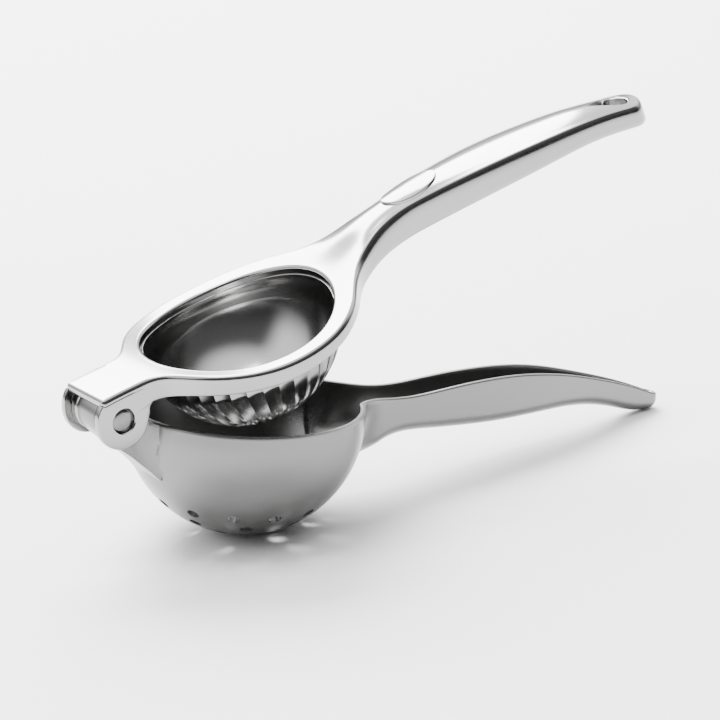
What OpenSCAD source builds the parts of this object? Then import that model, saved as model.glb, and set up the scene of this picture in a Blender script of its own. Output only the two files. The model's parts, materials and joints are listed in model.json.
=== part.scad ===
// Two-lever citrus press. The strainer cup and its channel handle stand on the
// floor; the upper lever carries the fluted press cup and turns on the hinge pin.
// Origin: centre of the small flat under the strainer cup. +X runs along the
// handles, +Z is up, and the hinge pin lies along Y.

/* [Strainer cup] */
// Outer radius of the strainer cup
cup_r = 37.5; // [32:0.5:46]
// Wall of the strainer cup
cup_wall = 1.8; // [1.2:0.1:2.6]
// Height of the straight band between the round bottom and the rim
cup_band = 3.4; // [1:0.2:8]
// Radius of the flat that the cup stands on
base_r = 7; // [4:0.5:9]
// Radius of one drain hole
drain_r = 2; // [1:0.1:2.4]

/* [Lower handle] */
// Distance from the cup's axis to the tip of the lower handle
lower_len = 159; // [125:1:200]
// Half the width of the lower handle at its middle
lower_half_w = 7; // [5:0.25:9]
// Wall of the lower handle's channel
lower_wall = 1.6; // [1:0.1:2.4]
// Height of the channel's sides at its middle
lower_depth = 14.2; // [9:0.5:18]

/* [Upper lever] */
// Gap between the strainer cup's wall and the hinge pin's axis
pin_gap = 12.1; // [11.5:0.1:16]
// Distance from the hinge pin to the end of the upper handle
upper_len = 209; // [150:1:260]
// Gap between the strainer cup's inner face and the press cup in its ring
press_gap = 5.2; // [3:0.2:8]
// Width of the ring's top face
ring_w = 6.4; // [4:0.2:9]
// Wall of the upper lever, which is open underneath
lever_wall = 2; // [1.2:0.1:2.6]
// Half the width of the neck and of the ears' outer faces
neck_half_w = 11; // [9.5:0.5:13]
// Half the width of the upper handle at its widest
grip_half_w = 10.3; // [8:0.25:12]
// Height of the plate's front edge above the pin's axis
plate_rise = 9.6; // [9:0.2:12]
// Angle between the ring and the strainer cup's rim as the press stands
open_angle = 23.6; // [5:0.5:80]

/* [Press cup] */
// Wall of the press cup
press_wall = 1.5; // [1:0.1:2]
// Depth of the round bottom of the press cup
press_dome = 22; // [15:0.5:25]
// Depth of the press cup's straight side below the pin's level
press_side = 6.7; // [4:0.2:9]
// Depth of the seam below the ring's top face
seam_drop = 2.2; // [1:0.2:3]
// Number of flutes
flutes = 38; // [24:1:44]
// Depth of one flute
flute_depth = 0.7; // [0.4:0.1:0.9]

/* [Hinge] */
// Radius of the hinge pin
pin_r = 3.85; // [3:0.05:4.5]
// Radial clearance of the pin in the knuckle
pin_play = 0.05; // [0.02:0.01:0.1]
// How far the pin's ends lie below the ears' faces
pin_recess = 1; // [0.4:0.1:1.5]
// Gap between the knuckle barrel and the plate that covers it
plate_gap = 0.6; // [0.4:0.1:1.4]
// Half the width of the knuckle barrel
barrel_half_w = 5.15; // [4:0.05:6]
// Radius of the ears
ear_r = 8.9; // [7.5:0.1:9.5]
// Gap between each collar and the knuckle
side_play = 0.1; // [0.05:0.05:0.3]
// Height of the pin's axis above the strainer cup's rim
pin_rise = 2.8; // [1:0.2:5]

/* [Badge and hang hole] */
// Length of the oval badge
badge_len = 20.5; // [14:0.5:24]
// Width of the oval badge
badge_w = 11.5; // [8:0.5:13]
// Height that the badge stands proud
badge_proud = 0.8; // [0.4:0.1:1.2]
// Radius of the hang hole
hang_r = 4; // [3:0.25:4.5]
// Length of the scoop that leads into the hang hole
scoop_len = 11; // [6:0.5:14]

/* [Hidden] */
$fn = 96;
eps = 0.01;

// The pin stands a little farther from the press cup's axis than from the
// strainer cup's, so that the cups come in line as the lever reaches its stop.
cup_lead = 1.4;
pin_x = -cup_r - pin_gap;
reach = cup_lead - pin_x;
opening_r = cup_r - cup_wall - press_gap;
ring_r = opening_r + ring_w;
ring_in = reach - ring_r;
ring_out = reach + ring_r;
plate_front = 5;
grip_len = upper_len - ring_out;
badge_u = ring_out + 0.275 * grip_len;
hang_u = upper_len - 2 * hang_r;
lower_tip_z = -19.9;
lower_tip_depth = 4.7;
lower_tip_r = 3;
// Radius of the knuckle barrel and of the collars beside it.
barrel_r = plate_rise - lever_wall - plate_gap;
// The ears' round ends are set back a little from the pin's axis.
ear_back = 0.3;
// The lower handle's root starts inside the cup's wall, and its free arm at the wall.
root_x = cup_r - 6;
arm_len = lower_len - cup_r;
// Half the height of the blocks that cut the upper lever's plan out.
tall = upper_len / 4;

// Tilt at which both the cup's flat and the lower handle's tip meet the floor.
stand_h = sqrt(pow(cup_r, 2) - pow(base_r, 2));
tip_drop = -lower_tip_z - cup_band;
rim_tilt = asin(stand_h / norm([lower_len, tip_drop])) - atan2(tip_drop, lower_len);

// A smooth curve through a list of [position, value] points.
function span(p, x, i = 0) = (i >= len(p) - 2 || x < p[i + 1][0]) ? i : span(p, x, i + 1);
function slope(p, i) =
    let (a = max(i - 1, 0), b = min(i + 1, len(p) - 1))
    (p[b][1] - p[a][1]) / (p[b][0] - p[a][0]);
function curve(p, x) =
    let (i = span(p, x), h = p[i + 1][0] - p[i][0], t = min(1, max(0, (x - p[i][0]) / h)))
    p[i][1] * (2 * pow(t, 3) - 3 * t * t + 1) + p[i + 1][1] * (3 * t * t - 2 * pow(t, 3))
    + h * slope(p, i) * (pow(t, 3) - 2 * t * t + t) + h * slope(p, i + 1) * (pow(t, 3) - t * t);
function steps(a, b, n) = [for (i = [0:n]) a + (b - a) * i / n];

// Upper lever: height of the top face's middle line above the pin's level. The
// ring sags between the hinge plate and the handle, and the handle arches.
upper_top = [
    [-plate_front, plate_rise],
    [ring_in * 0.55, plate_rise - 0.8],
    [ring_in + 2, plate_rise - 1.7],
    [reach - ring_r * 0.57, plate_rise - 4.9],
    [reach - ring_r * 0.24, plate_rise - 7],
    [reach + ring_r * 0.12, plate_rise - 7.9],
    [reach + ring_r * 0.42, plate_rise - 7.6],
    [reach + ring_r * 0.7, plate_rise - 6.1],
    [ring_out - 2, plate_rise - 3.8],
    [ring_out + 0.07 * grip_len, plate_rise - 0.6],
    [ring_out + 0.15 * grip_len, plate_rise + 1.9],
    [ring_out + 0.27 * grip_len, plate_rise + 3],
    [ring_out + 0.46 * grip_len, plate_rise + 2.3],
    [ring_out + 0.61 * grip_len, plate_rise + 0.2],
    [ring_out + 0.76 * grip_len, plate_rise - 2.8],
    [ring_out + 0.87 * grip_len, plate_rise - 5.7],
    [upper_len, plate_rise - 11],
];
// Depth of the upper lever's sides below that line.
upper_depth = [
    [-plate_front, 7.6],
    [ring_in, 7.8],
    [reach - ring_r * 0.55, 6.3],
    [reach + ring_r * 0.1, 5.3],
    [ring_out - 14, 4.8],
    [ring_out - 3, 7.4],
    [ring_out + 0.06 * grip_len, 10.6],
    [ring_out + 0.2 * grip_len, 12],
    [ring_out + 0.45 * grip_len, 12],
    [ring_out + 0.75 * grip_len, 10],
    [upper_len, 8.3],
];
// Half the width of the upper handle from the ring outwards.
grip_w = [
    [ring_out - 8.4, 24.6],
    [ring_out - 1.8, 16.4],
    [ring_out + 0.045 * grip_len, 11.6],
    [ring_out + 0.1 * grip_len, 9],
    [ring_out + 0.2 * grip_len, 7.3],
    [ring_out + 0.31 * grip_len, 8.6],
    [ring_out + 0.6 * grip_len, grip_half_w],
    [ring_out + 0.8 * grip_len, grip_half_w - 1.3],
    [hang_u, 2 * hang_r],
];

// Lower handle: its top edge and its depth, below the rim plane.
lower_top = [
    [root_x, -0.3],
    [cup_r + 2, -0.6],
    [cup_r + 0.074 * arm_len, -1.8],
    [cup_r + 0.16 * arm_len, -2.6],
    [cup_r + 0.275 * arm_len, -1.6],
    [cup_r + 0.385 * arm_len, -0.6],
    [cup_r + 0.49 * arm_len, -0.6],
    [cup_r + 0.615 * arm_len, -2],
    [cup_r + 0.765 * arm_len, -6.1],
    [cup_r + 0.91 * arm_len, -11.4],
    [lower_len, lower_tip_z + lower_tip_depth],
];
lower_deep = [
    [root_x, 20],
    [cup_r + 0.025 * arm_len, lower_depth + 3.2],
    [cup_r + 0.074 * arm_len, lower_depth - 0.6],
    [cup_r + 0.15 * arm_len, lower_depth - 3],
    [cup_r + 0.3 * arm_len, lower_depth - 1.2],
    [cup_r + 0.45 * arm_len, lower_depth],
    [cup_r + 0.7 * arm_len, lower_depth - 4],
    [cup_r + 0.855 * arm_len, lower_depth - 6.2],
    [cup_r + 0.93 * arm_len, lower_depth - 6.6],
    [lower_len, lower_tip_depth],
];
lower_w = [
    [root_x, 18],
    [cup_r - 0.5, lower_half_w + 6.5],
    [cup_r + 0.033 * arm_len, lower_half_w + 3.8],
    [cup_r + 0.074 * arm_len, lower_half_w + 2.4],
    [cup_r + 0.15 * arm_len, lower_half_w + 1],
    [cup_r + 0.32 * arm_len, lower_half_w + 0.4],
    [cup_r + 0.627 * arm_len, lower_half_w - 0.7],
    [cup_r + 0.83 * arm_len, lower_half_w - 3.1],
    [lower_len - lower_tip_r, lower_tip_r],
];

function top_v(u) = curve(upper_top, u);
function low_v(u) = top_v(u) - curve(upper_depth, u);

// A solid with the side view between two lines, as wide as it is asked to be.
module side_solid(us, tops, bottoms, half_w) {
    rotate([90, 0, 0])
        linear_extrude(2 * half_w, center = true)
            polygon(concat([for (i = [0:len(us) - 1]) [us[i], tops[i]]],
                           [for (i = [len(us) - 1:-1:0]) [us[i], bottoms[i]]]));
}
// A mirrored outline from a list of [position, half width] points.
module outline(us, widths) {
    polygon(concat([for (i = [0:len(us) - 1]) [us[i], -widths[i]]],
                   [for (i = [len(us) - 1:-1:0]) [us[i], widths[i]]]));
}

// Places: the lower lever's own frame has its origin at the rim's centre, and
// the upper lever's at the pin.
module in_lower() {
    translate([0, 0, stand_h]) rotate([0, rim_tilt, 0]) translate([0, 0, cup_band]) children();
}
module in_upper() {
    in_lower() translate([pin_x, 0, pin_rise]) rotate([0, -open_angle, 0]) children();
}
module along_y(h, r) {
    rotate([90, 0, 0]) cylinder(h = h, r = r, center = true);
}

// Round-bottomed cup shape with its rim at height 0.
module cup_solid(r, extra = 0) {
    translate([0, 0, -cup_band]) {
        difference() {
            sphere(r);
            translate([-2 * r, -2 * r, 0]) cube([4 * r, 4 * r, 2 * r]);
        }
        cylinder(h = cup_band + extra, r = r);
    }
}

// Rows of drain holes: [angle from the bottom, number of holes].
drain_rows = [[23, 5], [35, 8], [47.5, 13]];
module drain_holes() {
    translate([0, 0, -cup_band])
        for (row = drain_rows, i = [0:row[1] - 1])
            rotate([0, 0, i * 360 / row[1] - 71])
                rotate([0, 180 - row[0], 0])
                    translate([0, 0, cup_r - 2 * cup_wall])
                        cylinder(h = 4 * cup_wall, r = drain_r);
}
// Mouth through the cup's wall, as wide as the channel's hollow at its middle.
module mouth() {
    half_w = lower_half_w - lower_wall;
    deep = curve(lower_deep, cup_r) - lower_wall;
    translate([cup_r / 2, -half_w, -deep]) cube([cup_r, 2 * half_w, deep + cup_band]);
}

module strainer_cup() {
    color([0.72, 0.72, 0.71])
    difference() {
        in_lower() difference() {
            cup_solid(cup_r);
            cup_solid(cup_r - cup_wall, 1);
            drain_holes();
            mouth();
        }
        translate([-cup_r, -cup_r, -cup_r]) cube([2 * cup_r, 2 * cup_r, cup_r]);
    }
}

module lower_handle() {
    us = steps(root_x, lower_len, 34);
    plan = steps(root_x, lower_len - lower_tip_r, 34);
    hollow = steps(root_x, lower_len - lower_tip_r - lower_wall, 32);
    color([0.66, 0.66, 0.65])
    in_lower() difference() {
        intersection() {
            side_solid(us, [for (u = us) curve(lower_top, u)],
                       [for (u = us) curve(lower_top, u) - curve(lower_deep, u)], cup_r);
            translate([0, 0, -cup_r]) linear_extrude(2 * cup_r) {
                outline(plan, [for (u = plan) curve(lower_w, u)]);
                translate([lower_len - lower_tip_r, 0]) circle(lower_tip_r);
            }
        }
        intersection() {
            side_solid(hollow, [for (u = hollow) curve(lower_top, u) + 5],
                       [for (u = hollow) curve(lower_top, u) - curve(lower_deep, u) + lower_wall],
                       cup_r);
            translate([0, 0, -cup_r]) linear_extrude(2 * cup_r)
                outline(hollow, [for (u = hollow) max(0.6, curve(lower_w, u) - lower_wall)]);
        }
        cup_solid(cup_r, 5);
    }
}

module hinge_knuckle() {
    // Side view of the lug: down the underside, through the cup's wall and back up.
    web = [[pin_x - barrel_r * 0.6, pin_rise - barrel_r * 0.78], [pin_x + 2, -0.24 * cup_r],
           [pin_x + 7, -0.33 * cup_r], [4 - cup_r, -0.52 * cup_r], [4 - cup_r, -1],
           [pin_x + barrel_r + 2, 0], [pin_x + barrel_r * 0.4, pin_rise + barrel_r * 0.86]];
    color([0.68, 0.68, 0.67])
    in_lower() difference() {
        union() {
            translate([pin_x, 0, pin_rise]) along_y(2 * barrel_half_w, barrel_r);
            rotate([90, 0, 0]) linear_extrude(2 * barrel_half_w, center = true) polygon(web);
        }
        translate([pin_x, 0, pin_rise]) along_y(3 * barrel_half_w, pin_r + pin_play);
        cup_solid(cup_r, 5);
    }
}

// Outline of the upper lever seen from above, drawn in by an even margin.
module upper_plan(inset) {
    front = inset > 0 ? plate_front + 1 : plate_front;
    us = steps(ring_out - 8.4, hang_u, 30);
    circle_r = ring_r - inset;
    translate([-front, inset - neck_half_w]) square([front + ring_in + 8, 2 * (neck_half_w - inset)]);
    translate([reach, 0]) circle(circle_r);
    outline(us, [for (u = us) curve(grip_w, u) - inset]);
    translate([hang_u, 0]) circle(2 * hang_r - inset);
}
module upper_side(drop, low_extra, half_w) {
    us = steps(-plate_front - (low_extra > 0 ? 1 : 0), upper_len, 60);
    side_solid(us, [for (u = us) top_v(u) - drop], [for (u = us) low_v(u) - low_extra], half_w);
}
module ear_outline() {
    difference() {
        union() {
            translate([-ear_back, 0]) circle(ear_r);
            polygon([[-ear_back - ear_r, 0], [-plate_front, plate_rise - lever_wall / 2],
                     [ring_in, top_v(ring_in) - lever_wall / 2], [ring_in, low_v(ring_in) - eps],
                     [ear_r + 1.6, low_v(ring_in) - 0.4], [ear_r - 0.5, -1.5]]);
        }
        circle(pin_r);
    }
}

module upper_lever() {
    color([0.86, 0.86, 0.86])
    in_upper() difference() {
        union() {
            difference() {
                intersection() {
                    upper_side(0, 0, ring_r + 1);
                    translate([0, 0, -tall]) linear_extrude(2 * tall) upper_plan(0);
                }
                intersection() {
                    upper_side(lever_wall, 2, ring_r + 1);
                    translate([0, 0, -tall]) linear_extrude(2 * tall)
                        difference() {
                            upper_plan(lever_wall);
                            translate([reach, 0]) circle(opening_r + lever_wall);
                            translate([hang_u - 2.9 * hang_r, -ring_r]) square(2 * ring_r);
                        }
                }
            }
            for (side = [-1, 1])
                translate([0, side * (neck_half_w - lever_wall / 2), 0])
                    rotate([90, 0, 0]) linear_extrude(lever_wall, center = true) ear_outline();
        }
        translate([reach, 0, -tall]) cylinder(h = 2 * tall, r = opening_r);
        along_y(3 * neck_half_w, pin_r);
        hang_cut();
    }
}
// Hang hole, and the sloping scoop on the side towards the hinge.
module hang_cut() {
    scoop_r = 0.8 * hang_r;
    scoop_slope = 1.35 * atan2(scoop_r, scoop_len);
    translate([hang_u, 0, top_v(hang_u) - tall / 2]) cylinder(h = tall, r = hang_r);
    translate([hang_u, 0, top_v(hang_u) + scoop_r / 8])
        rotate([0, scoop_slope - 90, 0]) cylinder(h = 2 * scoop_len, r = scoop_r);
}

// Press cup shape: a straight side and a round bottom that is part of a sphere.
dome_r = (pow(opening_r, 2) + pow(press_dome, 2)) / (2 * press_dome);
dome_z = dome_r - press_dome - press_side;
module press_solid(inset, top) {
    difference() {
        translate([0, 0, dome_z]) sphere(dome_r - inset);
        translate([-2 * dome_r, -2 * dome_r, -press_side]) cube([4 * dome_r, 4 * dome_r, 4 * dome_r]);
    }
    translate([0, 0, -press_side]) cylinder(h = press_side + top, r = opening_r - inset);
}
// One flute: part of a ring whose middle lies a little outside the dome.
module flute() {
    // Share of the way round that the flutes take up at the dome's edge.
    open_share = 0.54;
    flute_w = open_share * 2 * PI * opening_r / flutes;
    groove_r = (pow(flute_w / 2, 2) + pow(flute_depth, 2)) / (2 * flute_depth);
    last = asin(opening_r / dome_r) - 3;
    first = asin(1.25 * flute_w * flutes / (2 * PI) / dome_r);
    translate([0, 0, dome_z]) rotate([90, 0, 0]) rotate([0, 0, first - 90])
        rotate_extrude(angle = last - first)
            translate([dome_r + groove_r - flute_depth, 0]) circle(groove_r, $fn = 32);
}
module press_cup() {
    us = steps(ring_in, ring_out, 24);
    color([0.8, 0.8, 0.8])
    in_upper() difference() {
        intersection() {
            translate([reach, 0, 0]) press_solid(0, plate_rise);
            side_solid(us, [for (u = us) top_v(u) - seam_drop], [for (u = us) -tall], ring_r);
        }
        translate([reach, 0, 0]) {
            press_solid(press_wall, plate_rise + 1);
            for (i = [0:flutes - 1]) rotate([0, 0, (i + 0.5) * 360 / flutes]) flute();
        }
    }
}

module badge_plate() {
    seat = 0.6;
    near = badge_len / 4;
    slope_a = atan2(top_v(badge_u + near) - top_v(badge_u - near), 2 * near);
    color([0.8, 0.8, 0.81])
    in_upper() difference() {
        translate([badge_u, 0, top_v(badge_u) - seat]) rotate([0, -slope_a, 0])
            linear_extrude(seat + badge_proud)
                polygon([for (a = [0:8:352]) [badge_len * cos(a), badge_w * sin(a)] / 2]);
        intersection() {
            upper_side(0, 0, ring_r);
            translate([0, 0, -tall]) linear_extrude(2 * tall) upper_plan(0);
        }
    }
}
module hinge_pin() {
    len = 2 * (neck_half_w - pin_recess);
    bevel = 0.4;
    color([0.62, 0.62, 0.62])
    in_upper() rotate([90, 0, 0]) {
        cylinder(h = len - 2 * bevel, r = pin_r, center = true);
        for (side = [0, 1]) mirror([0, 0, side])
            translate([0, 0, len / 2 - bevel]) cylinder(h = bevel, r1 = pin_r, r2 = pin_r - bevel);
    }
}
module collar(side) {
    from = barrel_half_w + side_play;
    to = neck_half_w - lever_wall;
    color([0.75, 0.75, 0.75])
    in_upper() translate([0, side * (from + to) / 2, 0]) difference() {
        along_y(to - from, barrel_r);
        along_y(to - from + 1, pin_r);
    }
}
module near_collar() collar(-1);
module far_collar() collar(1);

strainer_cup();
lower_handle();
hinge_knuckle();
upper_lever();
press_cup();
badge_plate();
hinge_pin();
near_collar();
far_collar();
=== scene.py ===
"""Citrus press: two polished steel levers that share a hinge pin, on a pale studio floor."""

import json
import math

import bmesh
import bpy
import numpy as np
from bpy.props import FloatProperty, FloatVectorProperty, IntProperty, PointerProperty
from mathutils import Matrix, Vector


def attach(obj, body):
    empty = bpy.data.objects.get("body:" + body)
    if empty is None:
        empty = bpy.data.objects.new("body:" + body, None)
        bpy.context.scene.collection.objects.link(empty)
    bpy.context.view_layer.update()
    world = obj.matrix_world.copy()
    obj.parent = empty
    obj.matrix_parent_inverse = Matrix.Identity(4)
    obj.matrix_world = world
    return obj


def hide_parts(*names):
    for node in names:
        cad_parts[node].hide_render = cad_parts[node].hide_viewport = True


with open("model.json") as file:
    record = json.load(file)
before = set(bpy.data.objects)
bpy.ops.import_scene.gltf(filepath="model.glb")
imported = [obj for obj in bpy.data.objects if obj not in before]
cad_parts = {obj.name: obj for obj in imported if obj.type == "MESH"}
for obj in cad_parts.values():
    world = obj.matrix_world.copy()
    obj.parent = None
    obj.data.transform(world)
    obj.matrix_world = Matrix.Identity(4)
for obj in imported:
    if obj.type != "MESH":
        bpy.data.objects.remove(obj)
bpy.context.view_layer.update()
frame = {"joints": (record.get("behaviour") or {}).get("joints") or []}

bl_info = {
    "name": "Citrus press",
    "version": (1, 0, 0),
    "blender": (4, 5, 0),
    "location": "3D View > Sidebar > Citrus press",
    "description": "Builds a two-lever citrus press with its strainer cup, fluted press cup and hinge",
    "category": "Object",
}

MM = 0.001
HINGE = frame["joints"][0]


# ---------------------------------------------------------------- small tools


class Line:
    """A smooth curve through points given as (position, value, ...)."""

    def __init__(self, points):
        p = np.array(points, float)
        self.x, self.y = p[:, 0], p[:, 1:]
        h, n = np.diff(self.x)[:, None], len(p)
        a, b = np.eye(n), np.zeros_like(self.y)
        slope = np.diff(self.y, axis=0) / h
        for i in range(1, n - 1):
            a[i, i - 1 : i + 2] = h[i - 1, 0], 2 * (h[i - 1, 0] + h[i, 0]), h[i, 0]
            b[i] = 6 * (slope[i] - slope[i - 1])
        self.bend = np.linalg.solve(a, b)

    def __call__(self, x):
        x = np.clip(np.asarray(x, float), self.x[0], self.x[-1])
        i = np.clip(np.searchsorted(self.x, x) - 1, 0, len(self.x) - 2)
        h = (self.x[i + 1] - self.x[i])[..., None]
        t = (x - self.x[i])[..., None] / h
        y, m = self.y, self.bend
        value = y[i] * (1 - t) + y[i + 1] * t
        value = value - h * h / 6 * t * (1 - t) * ((2 - t) * m[i] + (1 + t) * m[i + 1])
        return value[..., 0] if value.shape[-1] == 1 else value


def ease(a, b, x):
    """0 before a, 1 after b, smooth between them."""
    t = np.clip((np.asarray(x, float) - a) / (b - a), 0, 1)
    return t * t * (3 - 2 * t)


def unit(v):
    return v / np.maximum(np.linalg.norm(v, axis=-1, keepdims=True), 1e-12)


def moved(matrix, points):
    m = np.array(matrix)
    return np.asarray(points) @ m[:3, :3].T + m[:3, 3]


class Skin:
    """Collects grids of points, joins those that coincide, and makes one mesh of them."""

    def __init__(self):
        self.points, self.faces, self.finish, self.count = [], [], [], 0

    def grid(self, rows, closed=False, finish=0):
        rows = np.asarray(rows, float)
        m, n = rows.shape[:2]
        at = self.count + np.arange(m * n).reshape(m, n)
        self.points.append(rows.reshape(-1, 3))
        self.count += m * n
        if closed:
            at = np.hstack([at, at[:, :1]])
        quads = np.stack([at[:-1, :-1], at[:-1, 1:], at[1:, 1:], at[1:, :-1]], -1).reshape(-1, 4)
        self.faces += quads.tolist()
        self.finish += [finish] * len(quads)
        return self

    def mesh(self, name, matrix):
        points = np.concatenate(self.points)
        _, first, back = np.unique(
            np.round(points, 3) + 0.0, axis=0, return_index=True, return_inverse=True
        )
        back = back.reshape(-1)
        faces, finish = [], []
        for face, kind in zip(self.faces, self.finish):
            ring = []
            for v in face:
                w = int(back[v])
                if w not in ring:
                    ring.append(w)
            if len(ring) > 2:
                faces.append(ring)
                finish.append(kind)
        me = bpy.data.meshes.new(name)
        me.from_pydata(moved(matrix, points[first]) * MM, [], faces)
        me.polygons.foreach_set("material_index", finish)
        b = bmesh.new()
        b.from_mesh(me)
        bmesh.ops.recalc_face_normals(b, faces=b.faces)
        b.to_mesh(me)
        b.free()
        return me


def piece(me, materials, body, slot, *nodes, crease=35):
    """Makes the finished object of a mesh that is already in its place."""
    me.materials.clear()
    for m in materials:
        me.materials.append(m)
    me.shade_smooth()
    me.set_sharp_from_angle(angle=math.radians(crease))
    ob = bpy.data.objects.new(me.name, me)
    bpy.context.scene.collection.objects.link(ob)
    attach(ob, body)
    if nodes:
        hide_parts(*nodes)
    return ob


def around(profile, sides, start=0.0):
    """Turns (radius, height) points about the Z axis: one row for each point."""
    a = start + np.arange(sides) * 2 * math.pi / sides
    r, z = np.array(profile, float).T
    return np.stack(
        [np.outer(r, np.cos(a)), np.outer(r, np.sin(a)), np.repeat(z[:, None], sides, 1)], -1
    )


def corner(centre, radius, a, b, n):
    """Points of an arc from angle a to angle b in degrees."""
    t = np.radians(np.linspace(a, b, n + 1))
    return [(centre[0] + radius * c, centre[1] + radius * s) for c, s in zip(np.cos(t), np.sin(t))]


# ------------------------------------------------------------------ node tools


class Wire:
    """A node socket that takes + - * / with numbers and with other wires."""

    def __init__(self, tree, socket):
        self.tree, self.socket = tree, socket

    def maths(self, operation, other=None, swap=False, **more):
        values = [self] if other is None else [other, self] if swap else [self, other]
        kind = "ShaderNodeMath"
        return self.tree.node(kind, {"operation": operation, **more}, dict(enumerate(values)))

    def __add__(self, other):
        return self.maths("ADD", other)

    def __sub__(self, other):
        return self.maths("SUBTRACT", other)

    def __rsub__(self, other):
        return self.maths("SUBTRACT", other, swap=True)

    def __mul__(self, other):
        return self.maths("MULTIPLY", other)

    def __truediv__(self, other):
        return self.maths("DIVIDE", other)

    __radd__, __rmul__ = __add__, __mul__


class Tree:
    """Adds nodes to a shader or geometry tree."""

    def __init__(self, tree):
        self.tree = tree

    def node(self, kind, settings=None, sockets=None, out=0):
        n = self.tree.nodes.new(kind)
        for name, value in (settings or {}).items():
            if name == "stops":
                for i, (at, colour) in enumerate(value):
                    e = n.color_ramp.elements
                    stop = e[i] if i < 2 else e.new(at)
                    stop.position, stop.color = at, colour
            else:
                setattr(n, name, value)
        for name, value in (sockets or {}).items():
            for v in value if isinstance(value, list) else [value]:
                if isinstance(v, Wire):
                    self.tree.links.new(v.socket, n.inputs[name])
                else:
                    n.inputs[name].default_value = v
        return Wire(self, n.outputs[out]) if n.outputs else None

    def split(self, vector):
        """The three parts of a vector."""
        n = self.tree.nodes.new("ShaderNodeSeparateXYZ")
        self.tree.links.new(vector.socket, n.inputs[0])
        return [Wire(self, o) for o in n.outputs]


def grey(v):
    return (v, v * 0.997, v * 0.99, 1)


def new_material(name):
    m = bpy.data.materials.new(name)
    m.use_nodes = True
    m.node_tree.nodes.clear()
    return m, Tree(m.node_tree)


def noise(t, place, scale, detail, **more):
    return t.node("ShaderNodeTexNoise", {}, {"Vector": place, "Scale": scale, "Detail": detail, **more})


def bump(t, depth, height):
    """Raises the surface by depth, in millimetres, where height is 1."""
    return t.node("ShaderNodeBump", {}, {"Strength": 1.0, "Distance": depth * MM, "Height": height})


def metal(t, shade, rough, rise):
    """Ends a material's tree in bare metal."""
    sockets = {"Base Color": shade, "Metallic": 1.0, "Roughness": rough, "Normal": rise}
    bsdf = t.node("ShaderNodeBsdfPrincipled", {}, sockets)
    t.node("ShaderNodeOutputMaterial", {}, {"Surface": bsdf})


def steel(name, tone, rough, smear=0.05, grain=0.0, stretch=(1, 1, 1), scale=400, mottling=0.0):
    """Steel with soft rubbing marks in its gloss and a fine brushed or cast grain."""
    m, t = new_material(name)
    place = t.node("ShaderNodeTexCoord", out="Object")
    drawn = t.node("ShaderNodeMapping", {}, {"Vector": place, "Scale": stretch})
    cloud = noise(t, place, 38.0, 4.0, Roughness=0.6)
    hair = noise(t, drawn, scale, 5.0, Roughness=0.7)
    wear = noise(t, place, 9.0, 2.0)
    gloss = rough + smear * (cloud - 0.5) + 0.6 * smear * (wear - 0.5) + 0.5 * smear * (hair - 0.5)
    shade = t.node(
        "ShaderNodeValToRGB",
        {"stops": [(0.3, grey(tone * (1 - mottling))), (0.72, grey(tone))]},
        {"Fac": cloud * 0.5 + hair * 0.5},
    )
    metal(t, shade, gloss, bump(t, grain, hair + 0.15 * cloud))
    return m


def turned_steel(name, tone, rough, centre, pitch, axis="Y"):
    """Steel turned on a lathe, with rings round the hinge pin."""
    m, t = new_material(name)
    place = t.node("ShaderNodeTexCoord", out="Object")
    from_pin = tuple(-c for c in centre)
    shifted = t.node("ShaderNodeMapping", {}, {"Vector": place, "Location": from_pin})
    per_metre = 0.05 / (pitch * MM)
    rings = t.node(
        "ShaderNodeTexWave",
        {"wave_type": "RINGS", "rings_direction": axis, "wave_profile": "SIN"},
        {"Vector": shifted, "Scale": per_metre, "Distortion": 1.2, "Detail": 3.0, "Detail Scale": 2.0},
    )
    dust = noise(t, place, 900.0, 3.0)
    shade = t.node(
        "ShaderNodeValToRGB",
        {"stops": [(0.2, grey(tone * 0.85)), (0.8, grey(tone))]},
        {"Fac": rings * 0.4 + dust * 0.6},
    )
    metal(t, shade, rough + 0.12 * (dust - 0.5), bump(t, 0.004, rings + 0.6 * dust))
    return m


def material(name, make, *values, **more):
    return bpy.data.materials.get(name) or make(name, *values, **more)


def finishes(s):
    """The steels of the press: polished, bright inside the cups, satin and lathe-turned."""
    tone, brushed = s.polished_tone, (1, 1, 5)
    pin, turned_rough, pitch = HINGE["pos_m"], 0.22, 0.25
    return {
        "polished": material("polished_shell", steel, tone, s.polished_rough, 0.06, 0.0015),
        "bright": material("bright_inside_steel", steel, tone * 0.93, s.mirror_rough, 0.05, 0.0003),
        "satin": material(
            "soft_satin", steel, s.satin_tone, s.satin_rough, 0.08, 0.004, brushed, 700, 0.05
        ),
        "turned": material("turned_rings", turned_steel, s.satin_tone, turned_rough, pin, pitch),
    }


def sheet_steels(steels):
    """The finishes of a pressed sheet, in the order of its slots: outside, inside and edge."""
    return [steels["satin"], steels["bright"], steels["polished"]]


# ------------------------------------------------------------------- settings


def size(name, default, description):
    """A length in millimetres."""
    told = description + ", in millimetres"
    return FloatProperty(name=name, default=default, description=told, min=0.0)


def angle(name, degrees, description):
    turn = math.radians(degrees)
    return FloatProperty(name=name, default=turn, description=description, subtype="ANGLE")


def level(name, default, description, most=1.0):
    return FloatProperty(name=name, default=default, description=description, min=0.0, max=most)


class PRESS_PG_strainer(bpy.types.PropertyGroup):
    radius: size("Radius", 37.5, "Outer radius of the strainer cup")
    wall: size("Wall", 1.8, "Wall of the strainer cup")
    band: size("Band", 3.4, "Height of the straight band under the rim")
    base: size("Base", 7.0, "Radius of the flat that the cup stands on")
    hole: size("Drain hole", 2.0, "Radius of one drain hole")
    tilt: angle("Tilt", 7.4, "How far the rim leans towards the handle")
    mouth: angle("Mouth", 27, "Half the angle of the mouth that leads into the handle")
    mouth_depth: size("Mouth depth", 23.0, "How far the mouth reaches down the wall")


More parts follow.
